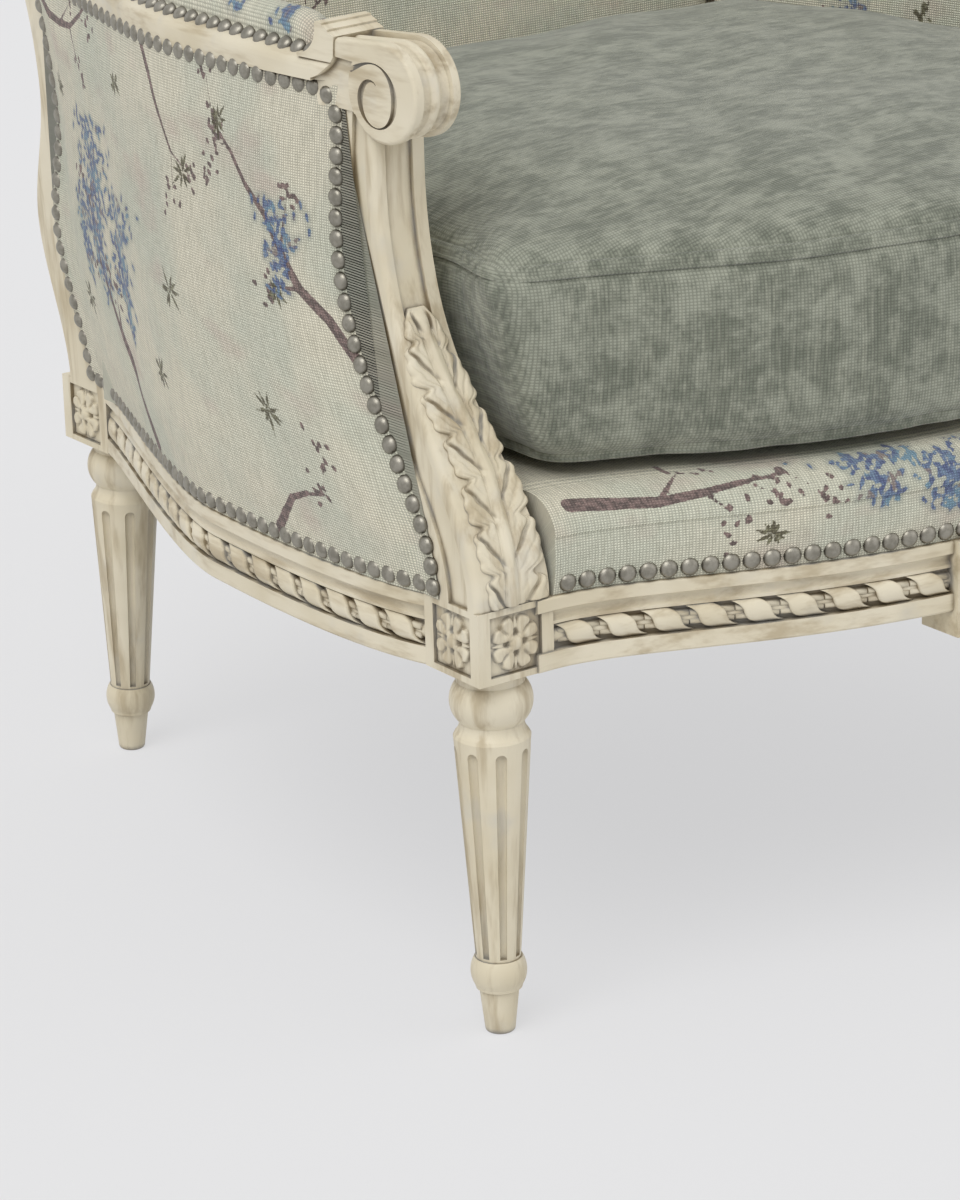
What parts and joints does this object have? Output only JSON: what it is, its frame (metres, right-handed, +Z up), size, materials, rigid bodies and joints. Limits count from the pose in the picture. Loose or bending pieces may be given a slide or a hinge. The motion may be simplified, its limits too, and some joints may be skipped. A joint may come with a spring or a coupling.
{
  "type": "bergere armchair",
  "caption": "Closed-arm upholstered armchair: carved painted frame on turned fluted legs, swept arm posts ending in scrolls, and a loose crowned seat cushion.",
  "frame": {"origin": "on the floor, under the middle of the chair's bounding box", "axes": "+Z up, the chair faces -Y, +X to the sitter's left"},
  "size_m": [0.7376, 0.786, 1],
  "materials": {
    "painted_wood": "satin",
    "tapestry": "matte",
    "cushion_fabric": "matte",
    "webbing": "matte",
    "dust_cloth": "matte",
    "bare_wood": "matte"
  },
  "bodies": {
    "frame": {"front_leg_left": "painted_wood", "front_leg_right": "painted_wood", "back_leg_left": "painted_wood", "back_leg_right": "painted_wood", "front_rail": "painted_wood", "front_centre_block": "painted_wood", "side_rail_left": "painted_wood", "side_rail_right": "painted_wood", "back_rail": "painted_wood", "arm_post_left": "painted_wood", "arm_post_right": "painted_wood", "arm_rail_left": "painted_wood", "arm_rail_right": "painted_wood", "arm_pad_left": "tapestry", "arm_pad_right": "tapestry", "back_stile_left": "painted_wood", "back_stile_right": "painted_wood", "crest_rail": "painted_wood", "side_panel_left": "tapestry", "side_panel_right": "tapestry", "side_pad_left": "tapestry", "side_pad_right": "tapestry", "side_tack_rail_left": "bare_wood", "side_tack_rail_right": "bare_wood", "back_tack_rail": "bare_wood", "back_panel": "tapestry", "back_pad": "tapestry", "seat_deck": "tapestry", "webbing_lengthwise": "webbing", "webbing_crosswise": "webbing", "front_brace_left": "bare_wood", "front_brace_right": "bare_wood", "rear_brace_left": "bare_wood", "rear_brace_right": "bare_wood", "dust_cover": "dust_cloth"},
    "cushion": {"seat_cushion": "cushion_fabric"}
  },
  "joints": [
    {"name": "cushion_lift", "type": "slide", "parent": "frame", "child": "cushion", "axis": [0, -0.2425, 0.9701], "range_m": [0, 0.3]}
  ]
}
